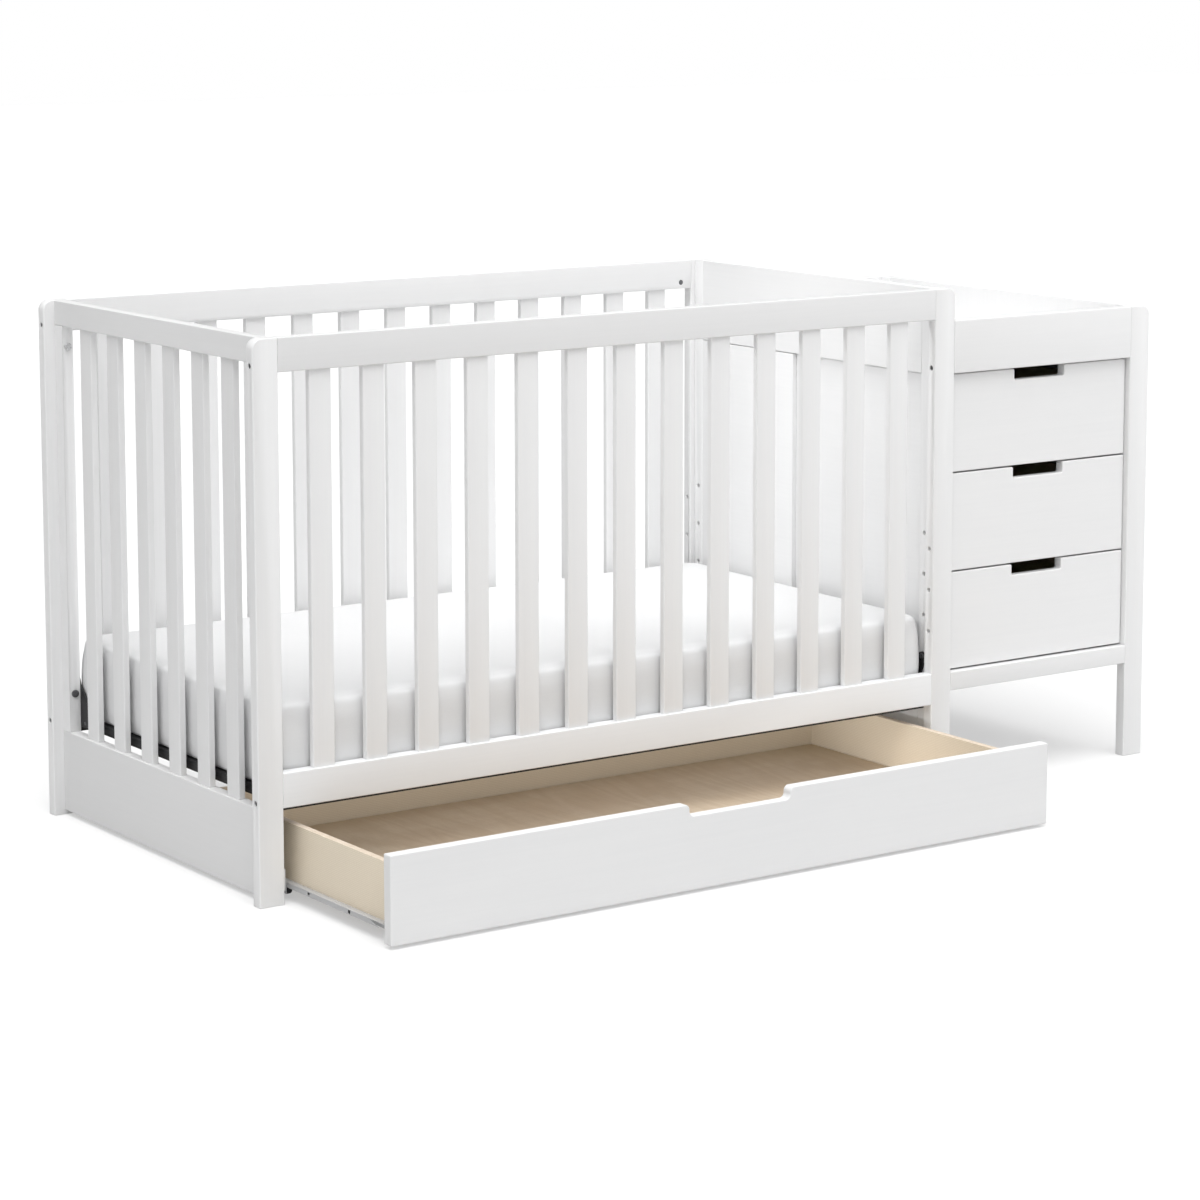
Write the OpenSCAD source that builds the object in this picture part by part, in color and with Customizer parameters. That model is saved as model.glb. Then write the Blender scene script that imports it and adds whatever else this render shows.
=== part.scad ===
// Crib with an attached three-drawer changer and a pull-out under-crib drawer.
// The front and back of the crib are thin boards in one plane: posts, rails and
// flat slats. The end panels stand between them, set in from the posts' faces.
// Layout numbers are measured from the crib's left outer face (x), the front
// face of the posts (y) and the floor (z); place() then moves the whole to its
// origin, the middle of its footprint on the floor.

/* [Crib frame] */
// Overall length of the crib without the changer
crib_l = 1420; // [1400:5:1440]
// Depth of crib and changer over the front and back boards
body_d = 755; // [745:5:765]
// Height of the crib's posts and top rails
crib_h = 905; // [885:5:925]
// Width of every post board
post_w = 45; // [42:1:48]
// Thickness of the front and back boards
board_t = 22; // [20:1:24]
// Height of the front and back top rails
top_rail_h = 55; // [45:1:65]
// Underside of the front and back bottom rails
low_rail_z = 156; // [154:1:162]
// Height of the front and back bottom rails
low_rail_h = 57; // [50:1:60]
// Radius of each post's outer top corner
post_corner_r = 18; // [10:1:22]

/* [Slats] */
// Slats in the front, and the same in the back
front_slat_n = 13; // [13:1:14]
// Slats in the left end
end_slat_n = 6; // [6:1:7]
// Width of a slat
slat_w = 40; // [36:1:42]
// Thickness of a slat
slat_t = 12; // [10:1:14]

/* [End panels] */
// Set-in of the end panels from the posts' outer faces
end_inset = 20; // [16:1:22]
// Thickness of the left end panel and of all stiles
end_t = 21; // [19:1:22]
// Width of a stile
stile_w = 27; // [24:1:30]
// Height of the left end's top rail
end_rail_h = 43; // [38:1:50]
// Top of the end's wide bottom board
end_panel_top = 151; // [146:1:151]
// Clearance under the end boards
end_floor_gap = 8; // [6:1:12]

/* [Changer] */
// Clear width between the crib's post and the changer's post
changer_open_w = 425; // [415:5:435]
// Height of the changer's posts and fascia
changer_h = 847; // [840:1:855]
// Height of the fascia above the drawers
fascia_h = 95; // [90:1:98]
// Underside of the changer's bottom rails
changer_low_z = 177; // [176:1:180]
// Height of the changer's bottom rails
changer_low_h = 34; // [33:1:40]
// Set-back of the drawer fronts from the posts' front face
drawer_setback = 12; // [8:1:14]
// Gap round each drawer front
drawer_gap = 3; // [2:0.5:4]
// Width of the finger notch in each drawer front
notch_w = 120; // [100:5:140]
// Depth of the finger notches
notch_d = 20; // [16:1:22]

/* [Under-crib drawer] */
// How far the drawer stands open as modelled
trundle_open = 316; // [250:2:400]
// Height of the drawer's front board
trundle_front_h = 142; // [136:1:142]
// Thickness of the drawer's front board
trundle_front_t = 19; // [18:1:20]
// Depth of the drawer over its front and back boards
trundle_depth = 623; // [600:1:630]
// Width of its finger notch
trundle_notch_w = 203; // [160:1:220]

/* [Mattress and support] */
// Mattress length
mattress_l = 1333; // [1320:1:1333]
// Mattress width
mattress_w = 702; // [692:1:702]
// Mattress thickness
mattress_h = 140; // [100:1:150]
// Top of the support frame at the lowest of its heights
support_z = 176; // [174:1:177]
// Distance between neighbouring support heights
height_step = 74.7; // [70:0.1:80]

/* [Hidden] */

e = 0.01;
fine = 32;
white = [0.93, 0.93, 0.92];
birch = [0.84, 0.75, 0.62];
steel = [0.66, 0.67, 0.68];
black = [0.06, 0.06, 0.06];

// main planes
xr = crib_l;                               // outer face of the crib's right posts
xc = crib_l + changer_open_w;              // inner edge of the changer's right posts
total_l = xc + post_w;
yb = body_d - board_t;                     // inner face of the back boards
top_rail_z = crib_h - top_rail_h;
low_rail_top = low_rail_z + low_rail_h;
fascia_z = changer_h - fascia_h;
changer_low_top = changer_low_z + changer_low_h;

// left end
xl0 = end_inset;                           // outer face
xl1 = end_inset + end_t;                   // inner face
// right end: stiles set in behind the posts' inner edges, boards between them
xs0 = crib_l - post_w + 9;                 // inner face of the stiles
xs1 = xs0 + end_t;
wall_t = 18;
filler_t = 9.4;                            // rear filler board, flush with the stiles
filler_y = 421.5;                          // its front edge
xw1 = xs0 + filler_t;                      // inner face of the lower board behind it
wall_z = 751;                              // underside of the top board
// changer's right end
xe1 = total_l - end_inset;                 // outer face
xe0 = xe1 - end_t;                         // inner face of the stiles
xp0 = xe0 + 2;                             // inner face of the side panel
stile_y1 = board_t + stile_w;              // front stiles reach back to here
stile_y2 = yb - stile_w;                   // back stiles start here
ym = body_d / 2;                           // mid depth

// fasteners
bolt_r = 3.0;      bolt_hole_r = 3.3;
head_r = 4.5;      sink_r = 4.9;     sink_d = 8;
nut_r = 4.9;       nut_hole_r = 5.0;  nut_len = 15;   nut_in = 24;
pin_r = 4.0;       pin_hole_r = 4.05; pin_half = 15;
ty = board_t / 2;                          // fastener line in the front boards
tyb = body_d - board_t / 2;                // and in the back boards
z_top_bolt = top_rail_z + 12;              // crib top rails
z_top_pin = top_rail_z + 38;
z_low_bolt = low_rail_z + 12;              // crib bottom rails
z_low_pin = low_rail_z + 46;
z_fas_bolt = fascia_z + 12;                // changer top rails
z_fas_pin = fascia_z + 83;
z_clow_bolt = changer_low_z + changer_low_h / 2;   // changer bottom rails, right end
z_clow_pins = [changer_low_z + 6, changer_low_z + changer_low_h - 6];
stile_bolt_z = [219, 826];
stile_pin_z = [300, 700];

// mattress support heights: one hole in the stile, one lower down in the post's edge
height_z0 = 239.5;
post_hole_drop = 24.5;
post_hole_r = 4.2;
frame_bolt_y = board_t + 42;
stile_hole_y = board_t + stile_w / 2;
frame_leg = 25;                            // flat legs of the angles
end_leg = 17;                              // upright legs at the ends
side_leg = 30;                             // and along the front and back
frame_bolt_drop = 9;
frame_t = 2.5;
fx0 = xl1 + 3;  fx1 = xs0 - 3;             // support frame's outer faces
fy0 = board_t + 4;  fy1 = yb - 4;
mx0 = (xl1 + xs0 - mattress_l) / 2;
my0 = ym - mattress_w / 2;

// runners: a fixed channel outside, a drawer member with an outward flange inside
run_t = 1.2;
slide_gap = 13;

// under-crib drawer
tx0 = post_w + 4;                          // front board's ends
tx1 = crib_l - post_w - 4;
tz0 = 5;
tb0 = post_w + 28.5;                       // box's outer faces
tb1 = crib_l - post_w - 28.5;
t_side_t = 12;
t_z0 = 18;      t_z1 = 122.5;              // box sides
t_floor = 37.6;                            // top of the drawer's bottom
rail_x = tb0 - slide_gap - 1;              // face of the left packer
t_flange = 29.2;
roller_f_r = 10;   roller_f_z = t_flange - run_t - roller_f_r - 0.3;
roller_f_y = trundle_front_t + 12.5;
roller_r_r = 10.8; roller_r_z = 22.6;
roller_r_y = trundle_depth - 16;
roller_x0 = rail_x + 4; roller_x1 = rail_x + 11.6;
axle_r = 2.0;
t_lip = 8.7;

// changer drawers
d_h = (fascia_z - changer_low_top - 4 * drawer_gap) / 3;
d_pitch = d_h + drawer_gap;
function d_z(i) = changer_low_top + drawer_gap + i * d_pitch;   // i = 0 lower, 2 upper
dx0 = crib_l + 2;
dx1 = xc - 2;
dy0 = drawer_setback;
d_front_t = 18;
db0 = crib_l + slide_gap;                  // box's outer faces
db1 = xc - slide_gap;
db_y1 = 640;
db_t = 12;
run_z = 22;                                // runner height above each front's lower edge

module place() { translate([-total_l / 2, -(body_d - trundle_open) / 2, 0]) children(); }
module moved_trundle() { place() translate([0, -trundle_open, 0]) children(); }

// box between two corners
module block(a, b) { translate(a) cube([b[0] - a[0], b[1] - a[1], b[2] - a[2]]); }
module xrod(x0, x1, y, z, r) { translate([x0, y, z]) rotate([0, 90, 0]) cylinder(h = x1 - x0, r = r, $fn = fine); }
module yrod(y0, y1, x, z, r) { translate([x, y0, z]) rotate([-90, 0, 0]) cylinder(h = y1 - y0, r = r, $fn = fine); }

// upright board, thin in y, with its outer top corner rounded in the xz plane
module post_board(x, y, h, side, r = post_corner_r) {
    translate([x, y + board_t, 0]) rotate([90, 0, 0]) linear_extrude(board_t)
        union() {
            square([post_w, h - r]);
            translate([side < 0 ? r : 0, 0]) square([post_w - r, h]);
            translate([side < 0 ? r : post_w - r, h - r]) circle(r = r, $fn = 64);
        }
}

// recessed bolt: sunk at x, running inwards through a post (s = +1 or -1 along x)
module bolt_cut(x, y, z, s) {
    if (s > 0) { xrod(x - 1, x + sink_d, y, z, sink_r); xrod(x, x + post_w + 1, y, z, bolt_hole_r); }
    else { xrod(x - sink_d, x + 1, y, z, sink_r); xrod(x - post_w - 1, x, y, z, bolt_hole_r); }
}
// blind hole and cross hole in a rail's end at x, running along s; yi is the rail's inner face
module rail_cut(x, y, z, s, yi) {
    if (s > 0) xrod(x - 1, x + 36, y, z, bolt_hole_r); else xrod(x - 36, x + 1, y, z, bolt_hole_r);
    if (yi > ym) yrod(yi - 1, yi + nut_len + 1, x + s * nut_in, z, nut_hole_r);
    else yrod(yi - nut_len - 1, yi + 1, x + s * nut_in, z, nut_hole_r);
}
module pin_cut_x(x, y, z) { xrod(x - pin_half - 0.5, x + pin_half + 0.5, y, z, pin_hole_r); }
module pin_cut_y(y, x, z) { yrod(y - pin_half - 0.5, y + pin_half + 0.5, x, z, pin_hole_r); }
module socket_bolt(x, y, z, s, len) {
    difference() {
        union() {
            if (s > 0) { xrod(x + 2, x + sink_d, y, z, head_r); xrod(x + sink_d - e, x + sink_d + len, y, z, bolt_r); }
            else { xrod(x - sink_d, x - 2, y, z, head_r); xrod(x - sink_d - len, x - sink_d + e, y, z, bolt_r); }
        }
        translate([x + s * (2 - e), y, z]) rotate([0, s * 90, 0]) cylinder(h = 3, r = 2.4, $fn = 6);
    }
}
// holes for one side of a post's four support heights
module height_cuts_post(x, y, s) {
    for (k = [1:3]) {
        z = height_z0 + k * height_step - post_hole_drop;
        if (s > 0) xrod(x - 1, x + 14, y, z, post_hole_r); else xrod(x - 14, x + 1, y, z, post_hole_r);
    }
}
module height_cuts_stile(x, y, s) {
    for (k = [0:3]) {
        z = height_z0 + k * height_step;
        if (s > 0) xrod(x - 1, x + 14, y, z, post_hole_r); else xrod(x - 14, x + 1, y, z, post_hole_r);
    }
}

// ---------- crib: front and back ----------
module left_post(y, yf) {
    sy = yf > ym ? yb : board_t;           // the face that the stile stands against
    difference() {
        post_board(0, y, crib_h, -1);
        for (z = [z_top_bolt, z_low_bolt]) bolt_cut(0, yf, z, 1);
        for (z = [z_top_pin, z_low_pin]) pin_cut_x(post_w, yf, z);
        height_cuts_post(post_w, yf, -1);
        for (z = stile_bolt_z)
            if (yf > ym) yrod(yb - 1, yb + 14, xl0 + end_t / 2, z, bolt_hole_r);
            else yrod(board_t - 14, board_t + 1, xl0 + end_t / 2, z, bolt_hole_r);
        for (z = stile_pin_z) pin_cut_y(sy, xl0 + end_t / 2, z);
    }
}
module right_post(y, yf) {
    sy = yf > ym ? yb : board_t;
    difference() {
        post_board(xr - post_w, y, crib_h, 1);
        for (z = [z_top_bolt, z_low_bolt]) bolt_cut(xr, yf, z, -1);
        for (z = [z_top_pin, z_low_pin]) pin_cut_x(xr - post_w, yf, z);
        bolt_cut(xr - post_w, yf, z_fas_bolt, 1);
        for (z = concat([z_fas_pin], z_clow_pins)) pin_cut_x(xr, yf, z);
        height_cuts_post(xr - post_w, yf, 1);
        for (z = stile_pin_z) pin_cut_y(sy, xs0 + end_t / 2, z);
    }
}
module left_front_post() { color(white) place() left_post(0, ty); }
module left_back_post() { color(white) place() left_post(yb, tyb); }
module right_front_post() { color(white) place() right_post(0, ty); }
module right_back_post() { color(white) place() right_post(yb, tyb); }

module long_rail(y, yf, yi, z0, z1, zbolt, zpin) {
    difference() {
        block([post_w, y, z0], [xr - post_w, y + board_t, z1]);
        rail_cut(post_w, yf, zbolt, 1, yi);
        rail_cut(xr - post_w, yf, zbolt, -1, yi);
        pin_cut_x(post_w, yf, zpin);
        pin_cut_x(xr - post_w, yf, zpin);
    }
}
module front_top_rail() { color(white) place() long_rail(0, ty, board_t, top_rail_z, crib_h, z_top_bolt, z_top_pin); }
module front_bottom_rail() { color(white) place() long_rail(0, ty, board_t, low_rail_z, low_rail_top, z_low_bolt, z_low_pin); }
module back_top_rail() { color(white) place() long_rail(yb, tyb, yb, top_rail_z, crib_h, z_top_bolt, z_top_pin); }
module back_bottom_rail() { color(white) place() long_rail(yb, tyb, yb, low_rail_z, low_rail_top, z_low_bolt, z_low_pin); }

module long_slats(y) {
    clear = xr - 2 * post_w;
    gap = (clear - front_slat_n * slat_w) / (front_slat_n + 1);
    for (i = [0:front_slat_n - 1])
        block([post_w + gap + i * (slat_w + gap), y, low_rail_top],
              [post_w + gap + i * (slat_w + gap) + slat_w, y + slat_t, top_rail_z]);
}
module front_slats() { color(white) place() long_slats((board_t - slat_t) / 2); }
module back_slats() { color(white) place() long_slats(yb + (board_t - slat_t) / 2); }

// ---------- crib: left end ----------
module left_end_stiles() {
    color(white) place() for (s = [0, 1]) {
        y0 = s == 0 ? board_t : stile_y2;
        yf = s == 0 ? board_t : yb;
        yc = s == 0 ? stile_hole_y : body_d - stile_hole_y;
        difference() {
            block([xl0, y0, end_panel_top], [xl1, y0 + stile_w, crib_h - end_rail_h]);
            for (z = stile_bolt_z) yrod(y0 - 1, y0 + stile_w + 1, xl0 + end_t / 2, z, bolt_hole_r);
            for (z = stile_pin_z) pin_cut_y(yf, xl0 + end_t / 2, z);
            height_cuts_stile(xl1, yc, -1);
        }
    }
}
module left_end_top_rail() {
    color(white) place() block([xl0, board_t, crib_h - end_rail_h], [xl1, yb, crib_h]);
}
module left_end_panel() {
    color(white) place() block([xl0, board_t, end_floor_gap], [xl1, yb, end_panel_top]);
}
module left_end_slats() {
    clear = stile_y2 - stile_y1;
    gap = (clear - end_slat_n * slat_w) / (end_slat_n + 1);
    x = xl0 + (end_t - slat_t) / 2;
    color(white) place() for (i = [0:end_slat_n - 1])
        block([x, stile_y1 + gap + i * (slat_w + gap), end_panel_top],
              [x + slat_t, stile_y1 + gap + i * (slat_w + gap) + slat_w, crib_h - end_rail_h]);
}

// ---------- crib: right end, which closes the changer's side too ----------
module right_end_stiles() {
    color(white) place() for (s = [0, 1]) {
        y0 = s == 0 ? board_t : stile_y2;
        yf = s == 0 ? board_t : yb;
        yc = s == 0 ? stile_hole_y : body_d - stile_hole_y;
        difference() {
            block([xs0, y0, end_floor_gap], [xs1, y0 + stile_w, crib_h]);
            for (z = stile_pin_z) pin_cut_y(yf, xs0 + end_t / 2, z);
            height_cuts_stile(xs0, yc, 1);
        }
    }
}
module right_end_top_board() {
    color(white) place() block([xs0, stile_y1, wall_z], [xs0 + wall_t, stile_y2, crib_h]);
}
module right_end_lower_board() {
    color(white) place() block([xw1, stile_y1, end_panel_top], [xs1, stile_y2, wall_z]);
}
module right_end_filler_board() {
    color(white) place() block([xs0, filler_y, end_panel_top], [xw1, stile_y2, wall_z - 1.2]);
}
module right_end_bottom_board() {
    color(white) place() block([xs0, stile_y1, end_floor_gap], [xs0 + wall_t, stile_y2, end_panel_top]);
}

// ---------- mattress and its support ----------
module angle_x(y, s) {   // angle along x, upright leg at y, flat leg on top running s along y
    block([fx0, s > 0 ? y : y - frame_t, support_z - side_leg], [fx1, s > 0 ? y + frame_t : y, support_z]);
    block([fx0, s > 0 ? y : y - frame_leg, support_z - frame_t], [fx1, s > 0 ? y + frame_leg : y, support_z]);
}
module angle_y(x, s) {
    difference() {
        block([s > 0 ? x : x - frame_t, fy0 + frame_leg, support_z - end_leg], [s > 0 ? x + frame_t : x, fy1 - frame_leg, support_z]);
        for (y = [frame_bolt_y, body_d - frame_bolt_y]) xrod(x - 4, x + 4, y, support_z - frame_bolt_drop, 3.3);
    }
    block([s > 0 ? x : x - frame_leg, fy0 + frame_leg, support_z - frame_t], [s > 0 ? x + frame_leg : x, fy1 - frame_leg, support_z]);
}
module mattress_support_frame() {
    color(black) place() {
        angle_x(fy0, 1);
        angle_x(fy1, -1);
        angle_y(fx0, 1);
        angle_y(fx1, -1);
    }
}
module mattress_support_straps() {
    n = 9;
    w = 30;
    x0 = fx0 + frame_leg;
    x1 = fx1 - frame_leg;
    p = (x1 - x0 - n * w) / (n + 1);
    color(black) place() for (i = [0:n - 1])
        block([x0 + p + i * (w + p), fy0 + frame_leg, support_z - frame_t],
              [x0 + p + i * (w + p) + w, fy1 - frame_leg, support_z]);
}
// plate on the stile's inner face: an arm that slants up from the frame to a rounded eye
module hanger(x, s, back) {
    z0 = support_z - end_leg;
    y0 = board_t;
    difference() {
        translate([x, back ? body_d : 0, 0]) mirror([0, back ? 1 : 0, 0]) rotate([90, 0, 90])
            linear_extrude(3) union() {
                polygon([[y0 + 24, z0], [y0 + 62, z0], [y0 + 62, z0 + 40], [y0 + 56, z0 + 47],
                    [y0 + 26, z0 + 76], [y0 + 21, height_z0 + 6], [y0 + 6.5, height_z0 - 2],
                    [y0 + 8, height_z0 - 13], [y0 + 12, height_z0 - 24], [y0 + 16, height_z0 - 36], [y0 + 20, height_z0 - 55]]);
                translate([stile_hole_y, height_z0]) circle(r = 7.8, $fn = 48);
            }
        y1 = back ? body_d - stile_hole_y : stile_hole_y;
        y2 = back ? body_d - frame_bolt_y : frame_bolt_y;
        xrod(x - 1, x + 4, y1, height_z0, 3.3);
        xrod(x - 1, x + 4, y2, support_z - frame_bolt_drop, 3.3);
    }
}
module hanger_brackets() {
    color(black) place() for (b = [false, true]) {
        hanger(xl1, 1, b);
        hanger(xs0 - 3, -1, b);
    }
}
module hanger_bolt(x, y, z, s, len) {
    difference() {
        union() {
            if (s > 0) { xrod(x, x + 1.7, y, z, 5.5); xrod(x - len, x + e, y, z, bolt_r); }
            else { xrod(x - 1.7, x, y, z, 5.5); xrod(x - e, x + len, y, z, bolt_r); }
        }
        translate([x + s * 0.5, y, z]) rotate([0, s * 90, 0]) cylinder(h = 3, r = 2.3, $fn = 6);
    }
}
module hanger_bolts() {
    color(steel) place() {
        for (y = [stile_hole_y, body_d - stile_hole_y]) {
            hanger_bolt(xl1 + 3, y, height_z0, 1, 15);
            hanger_bolt(xs0 - 3, y, height_z0, -1, 15);
        }
        // through the plates and the frame's end angles
        for (y = [frame_bolt_y, body_d - frame_bolt_y]) {
            hanger_bolt(fx0 + frame_t, y, support_z - frame_bolt_drop, 1, frame_t + 3);
            hanger_bolt(fx1 - frame_t, y, support_z - frame_bolt_drop, -1, frame_t + 3);
        }
    }
}
module mattress() {
    r = 16;
    z0 = support_z + 0.3;
    color([0.95, 0.95, 0.94]) place() translate([mx0, my0, z0]) union() {
        translate([r, 0, 0]) cube([mattress_l - 2 * r, mattress_w, mattress_h]);
        translate([0, r, 0]) cube([mattress_l, mattress_w - 2 * r, mattress_h]);
        for (x = [r, mattress_l - r], y = [r, mattress_w - r])
            translate([x, y, 0]) cylinder(h = mattress_h, r = r, $fn = 64);
    }
}

// ---------- fasteners ----------
module stile_bolt(y, z, s) {   // head on the stile's side face, running into the post board
    x = xl0 + end_t / 2;
    difference() {
        union() {
            if (s > 0) { yrod(y, y + 3, x, z, 6.5); yrod(y - stile_w - 12, y + e, x, z, bolt_r); }
            else { yrod(y - 3, y, x, z, 6.5); yrod(y - e, y + stile_w + 12, x, z, bolt_r); }
        }
        translate([x, y + s * 1.2, z]) rotate([-s * 90, 0, 0]) cylinder(h = 3, r = 2.4, $fn = 6);
    }
}
module connector_bolts() {
    color(steel) place() {
        for (y = [ty, tyb]) {
            for (z = [z_top_bolt, z_low_bolt]) {
                socket_bolt(0, y, z, 1, 70);
                socket_bolt(xr, y, z, -1, 70);
            }
            socket_bolt(xr - post_w, y, z_fas_bolt, 1, 70);
            for (z = [z_fas_bolt, z_clow_bolt]) socket_bolt(total_l, y, z, -1, 70);
        }
        for (z = stile_bolt_z) { stile_bolt(stile_y1, z, 1); stile_bolt(stile_y2, z, -1); }
    }
}
module nut_at(x, z, front) {
    difference() {
        if (front) yrod(board_t - nut_len, board_t, x, z, nut_r); else yrod(yb, yb + nut_len, x, z, nut_r);
        xrod(x - 8, x + 8, front ? ty : tyb, z, 3.1);
    }
}
module barrel_nuts() {
    color(steel) place() for (front = [true, false]) {
        for (z = [z_top_bolt, z_low_bolt]) {
            nut_at(post_w + nut_in, z, front);
            nut_at(xr - post_w - nut_in, z, front);
        }
        nut_at(xr + nut_in, z_fas_bolt, front);
        for (z = [z_fas_bolt, z_clow_bolt]) nut_at(xc - nut_in, z, front);
    }
}
module dowel_pins() {
    color(birch) place() {
        for (y = [ty, tyb]) {
            for (x = [post_w, xr - post_w], z = [z_top_pin, z_low_pin]) xrod(x - pin_half, x + pin_half, y, z, pin_r);
            for (x = [xr, xc], z = concat([z_fas_pin], z_clow_pins)) xrod(x - pin_half, x + pin_half, y, z, pin_r);
        }
        for (x = [xl0 + end_t / 2, xs0 + end_t / 2, xe0 + end_t / 2], y = [board_t, yb], z = stile_pin_z)
            yrod(y - pin_half, y + pin_half, x, z, pin_r);
    }
}

// ---------- changer ----------
module changer_post(y, yf) {
    sy = yf > ym ? yb : board_t;
    difference() {
        post_board(xc, y, changer_h, 1);
        for (z = [z_fas_bolt, z_clow_bolt]) bolt_cut(total_l, yf, z, -1);
        for (z = concat([z_fas_pin], z_clow_pins)) pin_cut_x(xc, yf, z);
        for (z = stile_pin_z) pin_cut_y(sy, xe0 + end_t / 2, z);
    }
}
module changer_front_post() { color(white) place() changer_post(0, ty); }
module changer_back_post() { color(white) place() changer_post(yb, tyb); }

module changer_top_rail(y, yf, yi) {
    difference() {
        block([xr, y, fascia_z], [xc, y + board_t, changer_h]);
        rail_cut(xr, yf, z_fas_bolt, 1, yi);
        rail_cut(xc, yf, z_fas_bolt, -1, yi);
        pin_cut_x(xr, yf, z_fas_pin);
        pin_cut_x(xc, yf, z_fas_pin);
    }
}
module changer_fascia() { color(white) place() changer_top_rail(0, ty, board_t); }
module changer_back_top_rail() { color(white) place() changer_top_rail(yb, tyb, yb); }
module changer_bottom_rails() {
    color(white) place() for (s = [0, 1]) {
        y = s == 0 ? 0 : yb;
        yf = s == 0 ? ty : tyb;
        difference() {
            block([xr, y, changer_low_z], [xc, y + board_t, changer_low_top]);
            rail_cut(xc, yf, z_clow_bolt, -1, s == 0 ? board_t : yb);
            for (z = z_clow_pins) { pin_cut_x(xr, yf, z); pin_cut_x(xc, yf, z); }
        }
    }
}
module changer_side_stiles() {
    color(white) place() for (s = [0, 1]) {
        y0 = s == 0 ? board_t : stile_y2;
        difference() {
            block([xe0, y0, changer_low_z], [xe1, y0 + stile_w, changer_h]);
            for (z = stile_pin_z) pin_cut_y(s == 0 ? board_t : yb, xe0 + end_t / 2, z);
        }
    }
}
module changer_side_panel() {
    color(white) place() block([xp0, stile_y1, changer_low_z], [xp0 + wall_t, stile_y2, changer_h]);
}
module changer_back_panel() {
    color(white) place() block([xs1 + 0.5, yb - 5, changer_low_z + 15], [xe0 - 0.5, yb, fascia_z]);
}
module changer_deck() {
    color(white) place() block([xs1 + 0.5, board_t + 0.5, fascia_z], [xe0 - 0.5, yb - 0.5, fascia_z + 12]);
}
module changer_deck_battens() {
    color(white) place() {
        block([xs1, stile_y1, fascia_z - 18], [xs1 + 15, stile_y2, fascia_z]);
        block([xp0 - 16, stile_y1, fascia_z - 18], [xp0, stile_y2, fascia_z]);
    }
}
module changer_bottom_panel() {
    color(white) place() block([xs1 + 0.5, board_t, changer_low_z + 3], [xe0 - 0.5, yb - 5, changer_low_z + 12]);
}

// ---------- runners ----------
// fixed channel on the left of a drawer: web at x, flanges reaching towards the drawer
module channel(x, y0, y1, z0, z1, reach) {
    block([x, y0, z0], [x + run_t, y1, z1]);
    block([x, y0, z0], [x + reach, y1, z0 + run_t]);
    block([x, y0, z1 - run_t], [x + reach, y1, z1]);
}
module flip_x(on, xm) { translate([on ? 2 * xm : 0, 0, 0]) mirror([on ? 1 : 0, 0, 0]) children(); }
xm_t = (tb0 + tb1) / 2;
xm_d = (db0 + db1) / 2;

module runner_packers() {
    color(birch) place() {
        // under-crib drawer
        block([xl1, board_t + 1, 15], [rail_x, 660, 51]);
        block([2 * xm_t - rail_x, board_t + 1, 15], [xs0, 660, 51]);
        // changer drawers
        for (i = [0:2]) {
            z = d_z(i) + run_z - 6;
            block([xs1, stile_y1, z], [xr - 0.5, 660, z + 38]);
            block([xc + 0.5, stile_y1, z], [xp0, 660, z + 38]);
        }
    }
}
module fixed_runners() {
    color(steel) place() {
        for (m = [false, true]) flip_x(m, xm_t) {
            union() {
                channel(rail_x, roller_f_y + roller_f_r + 2, 640, 10.2, 35, 11.2);
                block([rail_x, trundle_front_t + 3, 10.2], [rail_x + run_t, roller_f_y + roller_f_r + 3, 35]);
                xrod(rail_x, roller_x1 + 0.4, roller_f_y, roller_f_z, axle_r);
            }
        }
        for (i = [0:2], m = [false, true]) flip_x(m, xm_d)
            channel(crib_l - 0.5, 50, 640, d_z(i) + run_z, d_z(i) + run_z + 26, 10.5);
    }
}
module runner_glides() {
    color([0.9, 0.9, 0.9]) place() for (i = [0:2], m = [false, true]) flip_x(m, xm_d)
        block([crib_l + 4.2, 50, d_z(i) + run_z + run_t], [crib_l + 9.8, 70, d_z(i) + run_z + 11.7]);
}
// drawer member on the left: web on the side, flange outwards, lip down, toe under the side
module drawer_member(xs, y0, y1, z0, zf, out, lip) {
    block([xs - run_t, y0, z0 - run_t], [xs, y1, zf]);
    block([xs - out, y0, zf - run_t], [xs, y1, zf]);
    block([xs - out, y0, zf - lip], [xs - out + run_t, y1, zf]);
    block([xs - run_t, y0, z0 - run_t], [xs + 11, y1, z0]);
}

// ---------- changer drawers ----------
// notch in the top edge of a board, drawn with its mouth at the origin and reaching down
module notch_2d(w, d, r1, r2) {
    union() {
        translate([-w / 2, -d + r1]) square([w, d - r1 + 2]);
        translate([-w / 2 + r1, -d]) square([w - 2 * r1, d]);
        for (s = [-1, 1]) {
            translate([s * (w / 2 - r1), -d + r1]) circle(r = r1, $fn = 48);
            difference() {
                translate([s > 0 ? w / 2 - e : -w / 2 - r2, -r2]) square([r2 + e, r2 + 2]);
                translate([s * (w / 2 + r2), -r2]) circle(r = r2, $fn = 48);
            }
        }
    }
}
module notched_front(x0, x1, y, t, z, h, w, r1, r2) {
    translate([x0, y + t, z]) rotate([90, 0, 0]) linear_extrude(t) difference() {
        square([x1 - x0, h]);
        translate([(x1 - x0) / 2, h]) notch_2d(w, notch_d, r1, r2);
    }
}
module drawer_front(i) { color(white) place() notched_front(dx0, dx1, dy0, d_front_t, d_z(i), d_h, notch_w, 4, 3); }
module drawer_box(i) {
    z0 = d_z(i) + 22;
    z1 = d_z(i) + 142;
    y0 = dy0 + d_front_t;
    color(birch) place() {
        block([db0, y0, z0], [db0 + db_t, db_y1, z1]);
        block([db1 - db_t, y0, z0], [db1, db_y1, z1]);
        block([db0 + db_t, db_y1 - db_t, z0], [db1 - db_t, db_y1, z1]);
    }
}
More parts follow.
